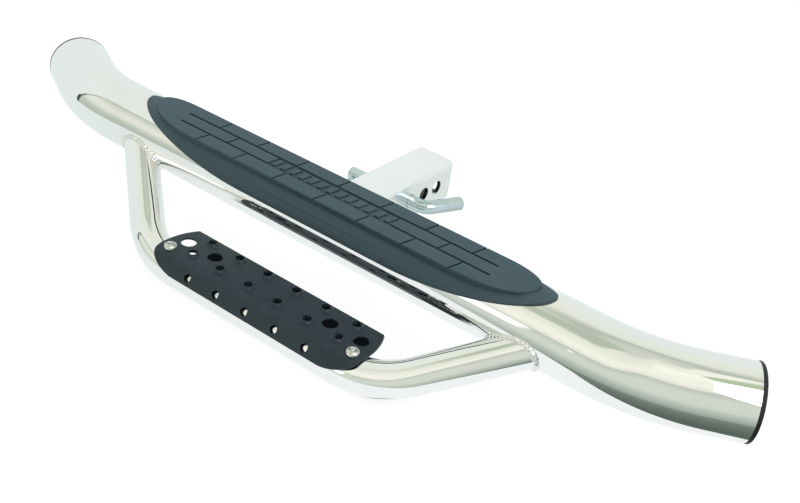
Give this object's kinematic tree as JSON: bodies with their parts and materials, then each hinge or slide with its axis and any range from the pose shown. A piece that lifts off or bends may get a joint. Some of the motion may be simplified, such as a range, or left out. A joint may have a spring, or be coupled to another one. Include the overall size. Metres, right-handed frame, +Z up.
{
  "type": "hitch receiver step",
  "caption": "Bent polished tube bumper step with a moulded tread pad, a lower hoop step with a punched plate, and a square receiver shank with a bent pin and clip.",
  "frame": {"origin": "centre of the middle pin hole in the receiver shank", "axes": "+X along the step tube, to the right seen from behind the vehicle; +Y along the shank towards the vehicle; +Z up"},
  "size_m": [0.9506, 0.3236, 0.1423],
  "materials": {
    "polished_steel": "mirror polished stainless steel",
    "weld_bead": "polished weld bead with fine ripples",
    "bright_shank": "bright satin steel",
    "zinc_pin": "bright zinc plated steel",
    "screw_steel": "plain stainless steel",
    "black_plate": "matt textured black powder coat",
    "pad_plastic": "dark slate grey moulded plastic, satin",
    "cap_plastic": "black moulded plastic",
    "clip_nylon": "black nylon"
  },
  "bodies": {
    "step": {"main_tube": "polished_steel", "end_cap_left": "cap_plastic", "end_cap_right": "cap_plastic", "step_pad": "pad_plastic", "pad_clip_1": "clip_nylon", "pad_clip_2": "clip_nylon", "pad_clip_3": "clip_nylon", "pad_clip_4": "clip_nylon", "drop_hoop": "polished_steel", "hoop_weld_left": "weld_bead", "hoop_weld_right": "weld_bead", "drop_step_plate": "black_plate", "plate_screw_left": "screw_steel", "plate_screw_right": "screw_steel", "rivet_nut_left": "screw_steel", "rivet_nut_right": "screw_steel", "receiver_shank": "bright_shank", "shank_weld": "weld_bead"},
    "hitch_pin": {"hitch_pin": "zinc_pin"},
    "pin_clip": {"pin_clip": "zinc_pin"}
  },
  "joints": [
    {"name": "pin_turn", "type": "hinge", "parent": "step", "child": "hitch_pin", "pos_m": [0, -0.0254, 0], "axis": [1, 0, 0], "continuous": true},
    {"name": "clip_pull", "type": "slide", "parent": "hitch_pin", "child": "pin_clip", "axis": [0, -1, 0], "range_m": [0, 0.026]}
  ]
}
